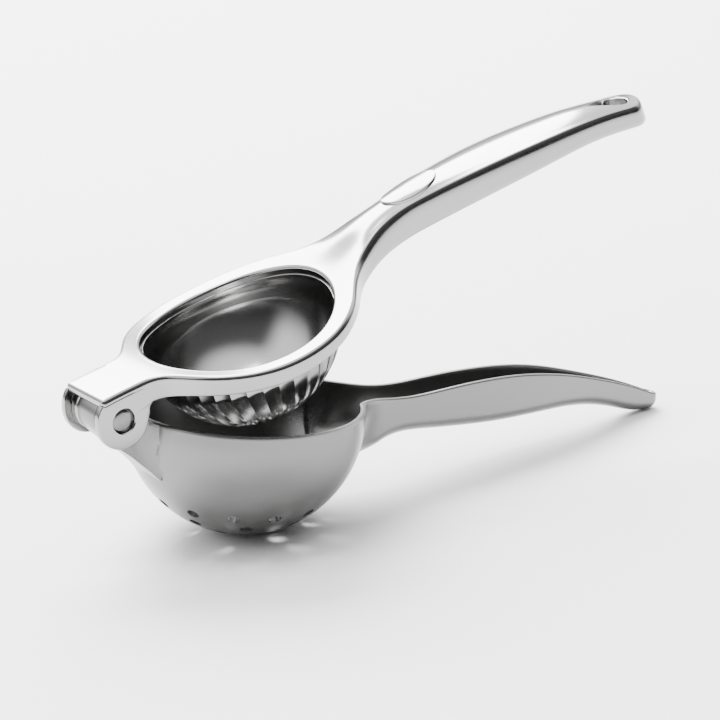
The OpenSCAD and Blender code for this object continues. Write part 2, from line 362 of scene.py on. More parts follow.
class PRESS_PG_lower_handle(bpy.types.PropertyGroup):
    length: size("Length", 159.0, "Distance from the cup's axis to the handle's tip")
    wall: size("Wall", 1.6, "Wall of the channel")
    lip: size("Lip", 0.5, "Height of the rounded edge")
    root: size("Root", 45.0, "Distance from the cup's axis to where the channel runs straight")


class PRESS_PG_upper_lever(bpy.types.PropertyGroup):
    reach: size("Reach", 51.0, "Distance from the hinge pin to the opening's centre")
    opening: size("Opening", 30.5, "Radius of the opening")
    length: size("Length", 209.0, "Distance from the hinge pin to the handle's end")
    wall: size("Wall", 2.0, "Wall of the lever")
    edge: size("Edge", 1.3, "Rounding of the top edge")
    shoulder: size("Shoulder", 1.9, "Height of the rounded edge round the ring and the neck")
    grip_shoulder: size("Grip shoulder", 2.8, "How much higher the rounded edge is along the grip")
    neck: size("Neck", 11.0, "Half the width of the neck")
    crown: size("Crown", 2.4, "How much the grip is crowned")
    hang: size("Hang hole", 4.0, "Radius of the hang hole")
    scoop: size("Scoop", 10.5, "Reach of the scoop that leads into the hang hole")
    open_angle: angle("Opening angle", 23.6, "Angle between the two cups' rims")


class PRESS_PG_press_cup(bpy.types.PropertyGroup):
    wall: size("Wall", 1.0, "Wall of the press cup")
    dome: size("Dome", 22.0, "Depth of the round bottom")
    side: size("Side", 6.7, "Depth of the straight side below the pin's level")
    seam: size("Seam", 2.2, "Depth of the seam below the ring's top face")
    flutes: IntProperty(name="Flutes", default=38, min=8, description="Number of flutes round the cup")
    flute_depth: size("Flute depth", 0.6, "Depth of one flute")


class PRESS_PG_hinge(bpy.types.PropertyGroup):
    pin: size("Pin", 3.85, "Radius of the hinge pin")
    play: size("Play", 0.05, "Radial clearance of the pin in the knuckle")
    recess: size("Recess", 1.0, "How far the pin's ends lie below the ears' faces")
    barrel: size("Barrel", 7.0, "Radius of the knuckle barrel and of the collars")
    half_width: size("Half width", 5.15, "Half the width of the knuckle barrel")
    ear: size("Ear", 8.8, "Radius of the ears")
    rise: size("Rise", 2.8, "Height of the pin above the strainer cup's rim")
    lead: size("Lead", 1.4, "How far the press cup stands towards the handle when open")


class PRESS_PG_badge(bpy.types.PropertyGroup):
    length: size("Length", 20.5, "Length of the oval badge")
    width: size("Width", 11.5, "Width of the oval badge")
    proud: size("Height", 0.8, "Height of the badge above the grip")
    at: size("Place", 121.2, "Distance of the badge from the hinge pin")


class PRESS_PG_finish(bpy.types.PropertyGroup):
    polished_tone: level("Polished tone", 0.30, "Brightness of the polished steel")
    polished_rough: level("Polished roughness", 0.15, "Roughness of the polished steel")
    mirror_rough: level("Mirror roughness", 0.19, "Roughness inside the cups and the channel")
    satin_tone: level("Satin tone", 0.18, "Brightness of the satin steel")
    satin_rough: level("Satin roughness", 0.30, "Roughness of the satin steel")


class PRESS_PG_stage(bpy.types.PropertyGroup):
    floor: FloatVectorProperty(
        name="Floor", default=(0.83, 0.83, 0.83), size=3, subtype="COLOR", description="Colour of the floor"
    )
    room: level("Room", 3.2, "Brightness of the room overhead and at the far side", 100.0)
    horizon: level("Horizon", 0.7, "Brightness of the room at the floor's level", 100.0)
    wall: level("Near wall", 0.07, "Brightness of the near wall, as a share of the room")
    azimuth: angle("Camera azimuth", -32.4, "Direction of the camera round the press")
    elevation: angle("Camera elevation", 20.55, "Height of the camera above the floor, as an angle")
    roll: angle("Camera roll", 3.2, "Turn of the picture")
    lens: size("Lens", 240.0, "Focal length of the camera on a 36 mm sensor")


class PRESS_PG_all(bpy.types.PropertyGroup):
    strainer: PointerProperty(type=PRESS_PG_strainer)
    lower_handle: PointerProperty(type=PRESS_PG_lower_handle)
    upper_lever: PointerProperty(type=PRESS_PG_upper_lever)
    press_cup: PointerProperty(type=PRESS_PG_press_cup)
    hinge: PointerProperty(type=PRESS_PG_hinge)
    badge: PointerProperty(type=PRESS_PG_badge)
    finish: PointerProperty(type=PRESS_PG_finish)
    stage: PointerProperty(type=PRESS_PG_stage)


def lower_place(s):
    """From the lower lever's own frame, with its origin at the rim's centre, to the press."""
    c = s.strainer
    high = math.sqrt(c.radius**2 - c.base**2)
    up = Matrix.Translation
    return up((0, 0, high)) @ Matrix.Rotation(c.tilt, 4, "Y") @ up((0, 0, c.band))


def pin_spot(s):
    return Vector((s.hinge.lead - s.upper_lever.reach, 0, s.hinge.rise))


def upper_place(s):
    """From the upper lever's own frame, with its origin at the pin, to the press."""
    turn = Matrix.Rotation(-s.upper_lever.open_angle, 4, "Y")
    return lower_place(s) @ Matrix.Translation(pin_spot(s)) @ turn


# ----------------------------------------------------- strainer cup and channel


def channel_section(half, top, low, bend, q):
    """Half of a U-shaped section: q runs from 0 at the floor's middle to 1 at the edge."""
    bend = np.minimum(bend, 0.85 * np.minimum(half, top - low))
    floor, turn = 0.25, 0.6
    a = np.clip((q - floor) / (turn - floor), 0, 1) * math.pi / 2
    y = np.where(q < floor, (half - bend) * q / floor, half - bend + bend * np.sin(a))
    side = np.clip((q - turn) / (1 - turn), 0, 1)
    z = low + bend * (1 - np.cos(a)) + (top - low - bend) * side
    return y, z


class LowerSheet:
    """The inner face of the strainer cup and of the channel that runs out of it."""

    tops = Line([(31, -0.3), (39, -0.7), (46, -1.8), (56.8, -2.7), (70.7, -1.8), (84.5, -0.9),
                 (97, -0.8), (112, -2.1), (130.6, -6.1), (144, -9.9), (152, -12.7), (159, -15.5)])
    lows = Line([(40, -18.6), (47, -16.2), (54.5, -14.9), (66, -15.1), (80, -15.8), (94, -16.0),
                 (108, -15.4), (122, -15.1), (132, -16.0), (141, -17.8), (150, -20.0), (159, -19.8)])
    halves = Line([(40, 11.4), (46.5, 9.4), (53, 8.3), (60, 7.9), (72, 7.6), (86, 7.2), (100, 6.8),
                   (113, 6.3), (122, 5.4), (133, 4.4), (144, 3.7), (152, 3.3), (159, 3.0)])

    def __init__(self, s):
        c, h = s.strainer, s.lower_handle
        self.r, self.band, self.wall = c.radius - c.wall, c.band, c.wall - 0.01
        self.lip, self.length, self.thin, self.root = h.lip, h.length, h.wall, h.root
        self.mouth, self.depth = c.mouth, c.mouth_depth
        n = 30
        self.q = np.concatenate([-np.linspace(1, 0, n, endpoint=False), np.linspace(0, 1, n + 1)])

    def on_cup(self, theta, climb, out=0.0):
        """A point of the cup's wall: climb is the path from the pole, in radii of the inner face."""
        quarter = math.pi / 2
        a = np.minimum(climb, quarter)
        r = (self.r + out) * np.sin(a)
        z = -self.band - (self.r + out) * np.cos(a) + np.maximum(climb - quarter, 0) * self.r
        return np.stack([r * np.cos(theta), r * np.sin(theta), z], -1)

    def climb_to(self, z):
        z = np.asarray(z, float) + self.band
        return np.where(z > 0, math.pi / 2 + z / self.r, np.arccos(np.clip(-z / self.r, -1, 1)))

    def mouth_line(self):
        """Angle round the cup and climb of each point of the mouth's outline."""
        a, power = np.abs(self.q) * math.pi / 2, 2 / 2.5
        theta = np.sign(self.q) * self.mouth * np.sin(a) ** power
        z = -self.lip - (self.depth - self.lip) * np.clip(np.cos(a), 0, 1) ** power
        return theta, self.climb_to(z)

    def cup_rows(self, out):
        """Rows from the pole to the rim and the mouth, out is the distance from the inner face."""
        theta_m, climb_m = self.mouth_line()
        round_ = np.linspace(self.mouth, 2 * math.pi - self.mouth, 181)[1:-1]
        theta = np.concatenate([theta_m, round_])
        climb = np.concatenate([climb_m, np.full(len(round_), float(self.climb_to(-self.lip)))])
        share = np.concatenate([np.linspace(0.004, 0.9, 52), np.linspace(0.91, 1, 10)])
        return self.on_cup(theta[None, :], share[:, None] * climb[None, :], out)

    def channel_rows(self):
        """Rows from the mouth to the tip."""
        theta, climb = self.mouth_line()
        start = self.on_cup(theta, climb)
        up = unit(self.on_cup(theta, climb + 0.01) - self.on_cup(theta, climb - 0.01))
        ring = unit(np.stack([-np.sin(theta), np.cos(theta), 0 * theta], -1))
        along = np.gradient(start, axis=0)
        side = (along * ring).sum(-1, keepdims=True) * up - (along * up).sum(-1, keepdims=True) * ring
        leave = unit(side)
        tip_outside = 3.0
        tip_r = tip_outside - self.thin
        centre = self.length - self.thin - tip_r
        turns = np.linspace(0, math.pi / 2, 9)[1:]
        xs = np.concatenate([np.linspace(self.root, centre, 84), centre + tip_r * np.sin(turns)])
        rows = []
        for x in xs:
            rows.append(self.section(x, centre, tip_r))
        end = rows[0]
        onward = unit(rows[1] - rows[0])
        gap = np.linalg.norm(end - start, axis=-1, keepdims=True)
        pull, push = 0.62 * gap, 0.95 * gap
        blend = []
        for t in np.linspace(0, 1, 22)[:-1]:
            blend.append(
                (2 * t**3 - 3 * t * t + 1) * start + (t**3 - 2 * t * t + t) * pull * leave
                + (3 * t * t - 2 * t**3) * end + (t**3 - t * t) * push * onward
            )
        return np.array(blend + rows)

    def section(self, x, centre, tip_r):
        q = np.abs(self.q)
        at = min(x, centre)
        half = float(self.halves(at)) - self.thin
        if x > centre:
            half = half * math.sqrt(max(0.0, 1 - ((x - centre) / tip_r) ** 2))
        top, low = float(self.tops(x)) - self.lip, float(self.lows(x)) + self.thin
        tip_lift, bend = 0.8, 2.5
        low += tip_lift * max(0.0, x - centre) ** 2 / tip_r
        y, z = channel_section(half, top, low, bend, q)
        return np.stack([np.full_like(y, x), y * np.sign(self.q), z], -1)


def edge_rows(inner, outer, rise, n=6):
    """The rounded edge that joins the ends of two faces of a sheet."""
    rows, middle, half = [], (inner + outer) / 2, (outer - inner) / 2
    for a in np.linspace(0, math.pi, n + 1):
        c, s = math.cos(a), math.sin(a)
        across = -math.copysign(abs(c) ** 0.75, c)
        rows.append(middle + across * half + np.array([0, 0, rise * s**0.75]))
    return rows


class Build(bpy.types.Operator):
    """Shared by the operators of the press."""

    bl_options = {"REGISTER", "UNDO"}

    def execute(self, context):
        s = context.scene.citrus_press
        self.build(s, finishes(s.finish))
        return {"FINISHED"}


def open_group(name, inputs):
    """Starts a geometry node group that changes a cup: its tree and a wire for each input."""
    group = bpy.data.node_groups.new(name, "GeometryNodeTree")
    face = group.interface
    face.new_socket("Cup", in_out="INPUT", socket_type="NodeSocketGeometry")
    for label, kind in inputs:
        face.new_socket(label, in_out="INPUT", socket_type="NodeSocket" + kind)
    face.new_socket("Cup", in_out="OUTPUT", socket_type="NodeSocketGeometry")
    t = Tree(group)
    given = group.nodes.new("NodeGroupInput")
    return t, [Wire(t, o) for o in given.outputs[: len(inputs) + 1]]


def close_group(t, shape, steel_in, where=True):
    """Ends the group in real geometry, with its steel on the faces that where picks."""
    whole = t.node("GeometryNodeRealizeInstances", {}, {0: shape})
    sockets = {"Geometry": whole, "Material": steel_in, "Selection": where}
    done = t.node("GeometryNodeSetMaterial", {}, sockets)
    end = t.tree.nodes.new("NodeGroupOutput")
    t.tree.links.new(done.socket, end.inputs[0])
    return t.tree


def holes_tree():
    """Geometry nodes that drill the rows of drain holes."""
    inputs = [("Hole radius", "Float"), ("Cup radius", "Float"), ("Turn", "Float"), ("Steel", "Material")]
    t, (cup, hole, radius, turn, steel_in) = open_group("Drain holes", inputs)
    drill_length = 6 * MM
    drill = t.node("GeometryNodeMeshCylinder", {}, {"Vertices": 40, "Radius": hole, "Depth": drill_length})
    rows = []
    for lean, count in ((23, 5), (35, 8), (46, 13)):
        a = math.radians(lean)
        ring = t.node("GeometryNodeMeshCircle", {}, {"Vertices": count, "Radius": radius * math.sin(a)})
        drop = t.node("ShaderNodeCombineXYZ", {}, {2: radius * -math.cos(a)})
        rows.append(t.node("GeometryNodeTransform", {}, {"Geometry": ring, "Translation": drop}))
    points = t.node("GeometryNodeJoinGeometry", {}, {0: rows})
    place = t.node("GeometryNodeInputPosition")
    face_out = t.node("FunctionNodeAlignRotationToVector", {"axis": "Z"}, {"Vector": place})
    at = {"Points": points, "Instance": drill, "Rotation": face_out}
    drills = t.node("GeometryNodeInstanceOnPoints", {}, at)
    spin = t.node("ShaderNodeCombineXYZ", {}, {2: turn})
    turned = t.node("GeometryNodeTransform", {}, {"Geometry": drills, "Rotation": spin})
    solid = t.node("GeometryNodeRealizeInstances", {}, {0: turned})
    exact = {"operation": "DIFFERENCE", "solver": "EXACT"}
    cut = t.node("GeometryNodeMeshBoolean", exact, {0: cup, 1: solid})
    outside = t.node("GeometryNodeInputMaterialIndex").maths("LESS_THAN", 0.5)
    return close_group(t, cut, steel_in, outside)


def run_nodes(me, group, values):
    """The mesh that a geometry node group makes of a mesh."""
    ob = bpy.data.objects.new(me.name + "_blank", me)
    bpy.context.scene.collection.objects.link(ob)
    m = ob.modifiers.new("Nodes", "NODES")
    m.node_group = group
    for item in group.interface.items_tree:
        if item.in_out == "INPUT" and item.name in values:
            m[item.identifier] = values[item.name]
    bpy.context.view_layer.update()
    graph = bpy.context.evaluated_depsgraph_get()
    made = bpy.data.meshes.new_from_object(ob.evaluated_get(graph))
    ob.modifiers.remove(m)
    bpy.data.objects.remove(ob)
    return made


def set_down(me, place):
    """Moves a mesh from its own frame to its place, given in millimetres."""
    me.transform(Matrix.Translation(place.translation * MM) @ place.to_3x3().to_4x4())


class PRESS_OT_strainer_cup(Build):
    """Strainer cup: round bottom, bright rim, drain holes and the mouth to the handle"""

    bl_idname = "press.strainer_cup"
    bl_label = "Strainer cup"

    def build(self, s, steels):
        sheet = LowerSheet(s)
        inner, outer = sheet.cup_rows(0.0), sheet.cup_rows(sheet.wall)
        skin = Skin()
        skin.grid(inner, closed=True, finish=1)
        skin.grid(outer, closed=True, finish=0)
        n = len(sheet.q)
        rim = np.arange(n - 1, inner.shape[1] + 1) % inner.shape[1]
        skin.grid(edge_rows(inner[-1][rim], outer[-1][rim], sheet.lip), finish=2)
        skin.grid([inner[-1][:n], outer[-1][:n]], finish=0)
        for rows, r, k in ((inner, 0.0, 1), (outer, sheet.wall, 0)):
            pole = np.repeat(sheet.on_cup(np.zeros(1), np.zeros(1), r), rows.shape[1], 0)
            skin.grid([pole, rows[0]], closed=True, finish=k)
        flat = skin.mesh("strainer_cup_plain", Matrix.Translation((0, 0, sheet.band)))
        first_hole = math.radians(-71)
        values = {
            "Hole radius": s.strainer.hole * MM,
            "Cup radius": (sheet.r + sheet.wall / 2) * MM,
            "Turn": first_hole,
            "Steel": steels["satin"],
        }
        metals = sheet_steels(steels)
        for m in metals:
            flat.materials.append(m)
        made = run_nodes(flat, holes_tree(), values)
        made.name = "strainer_cup_shell"
        set_down(made, lower_place(s) @ Matrix.Translation((0, 0, -sheet.band)))
        for v in made.vertices:
            v.co.z = max(v.co.z, 0.0)
        piece(made, metals, "lower_lever", "satin_steel", "strainer_cup")


class PRESS_OT_lower_handle(Build):
    """Lower handle: a channel that flows out of the strainer cup's mouth"""

    bl_idname = "press.lower_handle"
    bl_label = "Lower handle"

    def build(self, s, steels):
        sheet = LowerSheet(s)
        inner = sheet.channel_rows()
        wall = np.linspace(sheet.wall, sheet.thin, 20)
        wall = np.concatenate([wall, np.full(len(inner) - 20, sheet.thin)])[:, None, None]
        down, across = np.gradient(inner, axis=0), np.gradient(inner, axis=1)
        down[-1] = inner[-1] - inner[-3]
        normal = unit(np.cross(across, down))
        theta, climb = sheet.mouth_line()
        normal[0] = unit(sheet.on_cup(theta, climb, 1.0) - sheet.on_cup(theta, climb))
        if (normal[40, 30] * (0, 0, -1)).sum() < 0:
            normal[1:] *= -1
        side = np.sign(sheet.q)[:, None]
        end = np.stack([np.ones(len(side)), 0.02 * side[:, 0], np.zeros(len(side))], -1)
        low = np.abs(sheet.q)[:, None] < 0.45
        normal[-1] = unit(np.where(low, end + [0, 0, -1.2], end))
        outer = inner + wall * normal
        skin = Skin()
        skin.grid(inner, finish=1)
        skin.grid(outer, finish=0)
        for k in (0, -1):
            skin.grid(edge_rows(inner[:, k], outer[:, k], sheet.lip), finish=2)
        skin.grid([inner[0], outer[0]], finish=0)
        me = skin.mesh("lower_handle_channel", lower_place(s))
        metals = sheet_steels(steels)
        piece(me, metals, "lower_lever", "satin_steel", "lower_handle", crease=50)


# ------------------------------------------------------------------ upper lever


class LeverShape:
    """Outline and heights of the upper lever, in its own frame with its origin at the pin."""

    front, neck_end, grip_start, grip_end = -5.0, 9.0, 93.0, 184.0
    edge_line = Line([(-6, 9.7), (0, 9.42), (8, 8.7), (16, 7.75), (24, 6.1), (36, 3.5), (48, 2.1), (60, 1.7),
                      (72, 2.5), (82, 4.4), (93, 7.3), (102, 9.7), (112, 11.0), (124, 11.4), (136, 11.0),
                      (148, 10.1), (160, 8.75), (172, 7.0), (184, 4.85), (196, 1.9), (209, -1.9)])
    depths = Line([(-6, 7.6), (9, 7.8), (20, 7.1), (34, 6.1), (50, 5.4), (66, 4.8), (78, 5.0), (87, 7.2),
                   (95, 10.0), (105, 11.6), (120, 12.2), (140, 12.0), (160, 11.2), (180, 9.9),
                   (196, 9.0), (209, 8.4)])
    sides = [(9, 11), (12.2, 11.35), (15, 12.9), (17.6, 15.9), (20.2, 19.6), (24, 24.6), (30, 30.0),
             (36.5, 33.7),
             (43.5, 36.1), (51, 36.9), (58.5, 36.3), (66, 34.3), (73, 30.6), (79.5, 24.9), (86, 17.4),
             (93, 11.9), (100, 9.0), (107, 7.6), (114, 7.3), (121, 8.0), (131, 9.0), (142, 9.8), (153, 10.2),
             (164, 10.1), (175, 9.6), (184, 9.0), (193, 8.3), (201, 8.0)]

    def __init__(self, s):
        u = s.upper_lever
        self.u, self.hang_at = u, u.length - 8
        p = np.array(self.sides, float)
        path = np.concatenate([[0], np.cumsum(np.linalg.norm(np.diff(p, axis=0), axis=1))])
        curve = Line(np.column_stack([path, p]))
        fine = curve(np.linspace(0, path[-1], 3000))
        self.fine = fine[np.argmin(np.abs(fine[:, 0] - 9)) :]
        stretch = np.concatenate([[0], np.cumsum(np.linalg.norm(np.diff(self.fine, axis=0), axis=1))])

        def at(u0, u1, step):
            a, b = (np.interp(x, self.fine[:, 0], stretch) for x in (u0, u1))
            t = np.linspace(a, b, max(2, int(round((b - a) / step)) + 1))
            return np.column_stack([np.interp(t, stretch, self.fine[:, k]) for k in (0, 1)])

        neck_x = np.linspace(self.front + u.edge, self.neck_end, 10)
        self.neck = np.column_stack([neck_x, np.full(10, u.neck)])
        self.ring = at(self.neck_end, self.grip_start, 1.15)
        self.grip = at(self.grip_start, self.grip_end, 1.5)
        tail = at(self.grip_end, self.hang_at, 1.1)
        arc = np.array(corner((self.hang_at, 0), u.length - self.hang_at, 90, 0, 14))
        self.tail = np.concatenate([tail, arc[1:]])
        self.cols = np.linspace(0, 1, 8)

    def half_width(self, x):
        return np.interp(x, self.fine[:, 0], self.fine[:, 1])

    def top(self, x, y):
        w = np.where(x > self.hang_at, 8.0, self.half_width(np.clip(x, 9, None)))
        crown = self.u.crown * ease(78, 104, x) * (1 - 0.35 * ease(180, 205, x))
        sunk = 0.42 * crown
        return self.edge_line(x) - sunk + crown * np.clip(1 - (y / w) ** 2, 0, 1)

    def low(self, x):
        return self.top(x, 0 * x) - self.depths(x)

    def side_parts(self, d):
        """The half outline drawn in by d: front, corner, neck, ring, grip and tail."""
        e, n, f = self.u.edge, self.u.neck, self.front
        cols = np.column_stack([np.full(len(self.cols), f + d), self.cols * (n - max(d, e))])
        turn = np.array(corner((f + max(d, e), n - max(d, e)), max(e - d, 0), 180, 90, 5))
        k = (self.neck[:, 0] - self.neck[0, 0]) / (self.neck_end - self.neck[0, 0])
        neck = np.column_stack([f + max(d, e) + k * (self.neck_end - f - max(d, e)), np.full(len(k), n - d)])
        rest = np.concatenate([self.ring, self.grip[1:], self.tail[1:]])
        tangent = unit(np.gradient(rest, axis=0))
        tangent[0], tangent[-1] = (1, 0), (0, -1)
        out = np.column_stack([-tangent[:, 1], tangent[:, 0]])
        rest = rest - d * out
        rest[-1, 1] = 0
        a, b = len(self.ring), len(self.ring) + len(self.grip) - 1
        return cols, turn, neck, rest[:a], rest[a - 1 : b], rest[b - 1 :]

    def loop(self, d):
        """The whole outline drawn in by d."""
        cols, turn, neck, ring, grip, tail = self.side_parts(d)
        half = np.concatenate([cols, turn[1:], neck[1:], ring[1:], grip[1:], tail[1:]])
        return np.concatenate([half, half[-2:0:-1] * [1, -1]])

    def tear(self, angle):
        """Distance from the hang hole's centre to the edge of the hole and its scoop."""
        r, far = self.u.hang + 0.7, self.u.scoop
        to_tail = math.pi - np.abs(angle)
        touch = math.acos(r / far)
        tail = r / np.cos(np.clip(touch - to_tail, 0, None))
        return np.minimum(tail, far - 0.35 * (1 - ease(0, 0.35, to_tail)))

    def cap(self, skin, d, height, around_opening, around_hole, finish):
        """Fills the outline drawn in by d, except for the opening and the hang hole."""
        _, _, neck, ring, grip, tail = self.side_parts(d)

        def lift(p):
            return np.concatenate([p, height(p[..., 0], p[..., 1])[..., None]], -1)

        spread = np.concatenate([-self.cols[:0:-1], self.cols])

        def strips(line):
            return np.stack([np.repeat(line[:, :1], len(spread), 1), line[:, 1:] * spread], -1)

        flat_neck, flat_grip = strips(neck), strips(grip)
        skin.grid(lift(flat_neck), finish=finish)
        skin.grid(lift(flat_grip), finish=finish)
        reach = self.u.reach
        up = [1, -1]
        loop = np.concatenate([flat_neck[-1], ring[1:], flat_grip[0][-2::-1], (ring * up)[-2:0:-1]])
        inside = loop - [reach, 0]
        circle = [reach, 0] + around_opening * unit(inside)
        t = np.linspace(0, 1, 12)[:, None, None]
        skin.grid(lift(loop * (1 - t) + circle * t), closed=True, finish=finish)
        end = np.concatenate([flat_grip[-1], tail[1:], (tail * up)[-2:0:-1]])
        away = end - [self.hang_at, 0]
        angles = np.arctan2(away[:, 1], away[:, 0])
        hole = [self.hang_at, 0] + around_hole(angles)[:, None] * unit(away)
        t = np.linspace(0, 1, 8)[:, None, None]
        skin.grid(lift(end * (1 - t) + hole * t), closed=True, finish=finish)
        return unit(inside), angles, unit(away)


class PRESS_OT_upper_lever(Build):
    """Upper lever: ring, neck, ears and grip as one shell that is open underneath"""

    bl_idname = "press.upper_lever"
    bl_label = "Upper lever"

    def build(self, s, steels):
        u, h = s.upper_lever, s.hinge
        shape, skin = LeverShape(s), Skin()
        reach, wall, edge = u.reach, u.wall, u.edge

        solid_from = 188.6

        def under(x, y):
            solid = ease(solid_from, solid_from + 1, x)
            hollow = shape.top(x, y) - wall
            return hollow * (1 - solid) + (shape.low(x) + 0.02) * solid

        def height(p, z):
            return np.column_stack([p, z])

        rays, angles, away = shape.cap(skin, edge, shape.top, u.opening + edge, shape.tear, 0)
        shape.cap(skin, wall, under, u.opening + wall, lambda a: np.full_like(a, u.hang), 1)

        drawn_in = shape.loop(edge)
        crest = shape.top(drawn_in[:, 0], drawn_in[:, 1])
        outline = shape.loop(0)
        x = outline[:, 0]
        shoulder = u.shoulder + u.grip_shoulder * ease(82, 104, x) * (1 - 0.5 * ease(150, 195, x))
        rows = []
        for a in np.linspace(0, math.pi / 2, 11):
            z = crest - shoulder * (1 - math.cos(a))
            rows.append(height(shape.loop(edge * (1 - math.sin(a))), z))
        slab = crest - wall
        depth = ease(6.0, 8.8, x)
        low = slab * (1 - depth) + shape.low(x) * depth
        bend = 0.5 + 1.1 * ease(84, 100, x)
        start = crest - shoulder
        foot = np.minimum(low + bend, start - 0.02)
        for t in np.linspace(0, 1, 7)[1:]:
            rows.append(height(outline, start + (foot - start) * t))
        for a in np.linspace(0, math.pi / 2, 6)[1:]:
            c = (1 - math.cos(a)) * bend
            ring = outline + (shape.loop(1) - outline) * c[:, None]
            rows.append(height(ring, foot + (low - foot) * math.sin(a)))
        inner = shape.loop(wall)
        rows.append(height(inner, low))
        rows.append(height(inner, np.maximum(under(inner[:, 0], inner[:, 1]), low)))
        skin.grid(np.array(rows), closed=True)

        def ring_row(r, z_of, drop):
            p = [reach, 0] + r * rays
            return np.column_stack([p, z_of(p[:, 0], p[:, 1]) - drop])

        base = [reach, 0] + (u.opening + edge) * rays
        lip_z = shape.top(base[:, 0], base[:, 1])
        rows = []
        for a in np.linspace(0, math.pi / 2, 8):
            p = [reach, 0] + (u.opening + edge * (1 - math.sin(a))) * rays
            rows.append(np.column_stack([p, lip_z - edge * (1 - math.cos(a))]))
        foot = shape.low(rows[-1][:, 0])
        rows.append(np.column_stack([rows[-1][:, :2], foot]))
        far = [reach, 0] + (u.opening + wall) * rays
        rows.append(np.column_stack([far, foot]))
        rows.append(np.column_stack([far, np.maximum(under(far[:, 0], far[:, 1]), foot)]))
        skin.grid(np.array(rows), closed=True)

        centre = [shape.hang_at, 0]
        edge_r = shape.tear(angles)
        edge_p = centre + edge_r[:, None] * away
        edge_z = shape.top(edge_p[:, 0], edge_p[:, 1])
        hole_p = centre + u.hang * away
        drop = 0.6 + 3.7 * np.clip((edge_r - u.hang - 0.7) / 1.6, 0, 1)
        floor = shape.top(hole_p[:, 0], hole_p[:, 1]) - drop
        rows = []
        for t in np.linspace(0, 1, 12):
            p = edge_p + (hole_p - edge_p) * t
            z = edge_z + (floor - edge_z) * math.sin(t * math.pi / 2)
            rows.append(np.column_stack([p, z]))
        rows.append(np.column_stack([hole_p, under(hole_p[:, 0], hole_p[:, 1])]))
        # The scoop down to the hang hole takes the darker satin steel (finish 1) as painted shade, for the
        # shade that falls in the scoop.
        skin.grid(np.array(rows), closed=True, finish=1)
        me = skin.mesh("upper_lever_shell", upper_place(s))
        metals = [steels["polished"], steels["satin"]]
        piece(me, metals, "upper_lever", "polished_steel", "upper_lever")

        for side, name in ((-1, "near_ear"), (1, "far_ear")):
            me = self.ear(shape, h, u, side).mesh(name, upper_place(s))
            piece(me, [steels["polished"]], "upper_lever", "polished_steel")

    def ear(self, shape, h, u, side):
        """One bored ear, flush with the neck's side."""
        start, end = shape.front + 1.0, 13.6
        top = [(x, float(shape.edge_line(x)) - 1.9) for x in np.linspace(start, end, 12)]
        foot = float(shape.low(np.array(end)))
        right = [(end, v) for v in np.linspace(top[-1][1], foot, 6)[1:]]
        bend = corner((9.2 + 2.4, foot - 2.4), 2.4, 90, 180, 8)
        lobe = corner((-0.3, 0), h.ear, -35, -184, 40)
        brow = [(-8.85, 2.3), (-8.3, 4.2), (-7.45, 5.9), (-6.3, 7.3), (-5.2, 8.2)]
        outline = np.array(top + right + bend + lobe + brow)
        ahead = np.roll(outline, -1, 0) - np.roll(outline, 1, 0)
        out = unit(np.column_stack([-ahead[:, 1], ahead[:, 0]]))
        away = unit(outline)
        face, back = side * (u.neck + 0.04), side * (u.neck - u.wall - 0.03)
        skin, rows = Skin(), []

        def row(p, y):
            rows.append(np.column_stack([p[:, 0], np.full(len(p), y), p[:, 1]]))

        round_ = 0.45
        row(away * h.pin, back)
        row(away * h.pin, face - side * 0.3)
        row(away * (h.pin + 0.3), face)
        row(outline - out * round_, face)
        for a in np.linspace(0, math.pi / 2, 5)[1:]:
            row(outline - out * round_ * (1 - math.sin(a)), face - side * round_ * (1 - math.cos(a)))
        row(outline, back + side * 0.2)
        row(outline - out * 0.2, back)
        rows.append(rows[0])
        skin.grid(np.array(rows), closed=True)
        return skin


# -------------------------------------------------------------------- press cup


def flutes_tree():
    """Geometry nodes that press the flutes into the cup's outer face."""
    inputs = [("Flutes", "Int"), ("Depth", "Float"), ("Steel", "Material")]
    t, (cup, count, depth, steel_in) = open_group("Flutes", inputs)
    x, y, _ = t.split(t.node("GeometryNodeInputPosition"))
    turn = y.maths("ARCTAN2", x) * count / (2 * math.pi)
    across = 2 * turn.maths("FRACT") - 1
    bowl = 1 - across * across
    share = t.node("GeometryNodeInputNamedAttribute", {"data_type": "FLOAT"}, {"Name": "flute"})
    inward = bowl * share * depth * -1
    normal = t.node("GeometryNodeInputNormal")
    push = t.node("ShaderNodeVectorMath", {"operation": "SCALE"}, {0: normal, "Scale": inward})
    fluted = t.node("GeometryNodeSetPosition", {}, {"Geometry": cup, "Offset": push})
    return close_group(t, fluted, steel_in)


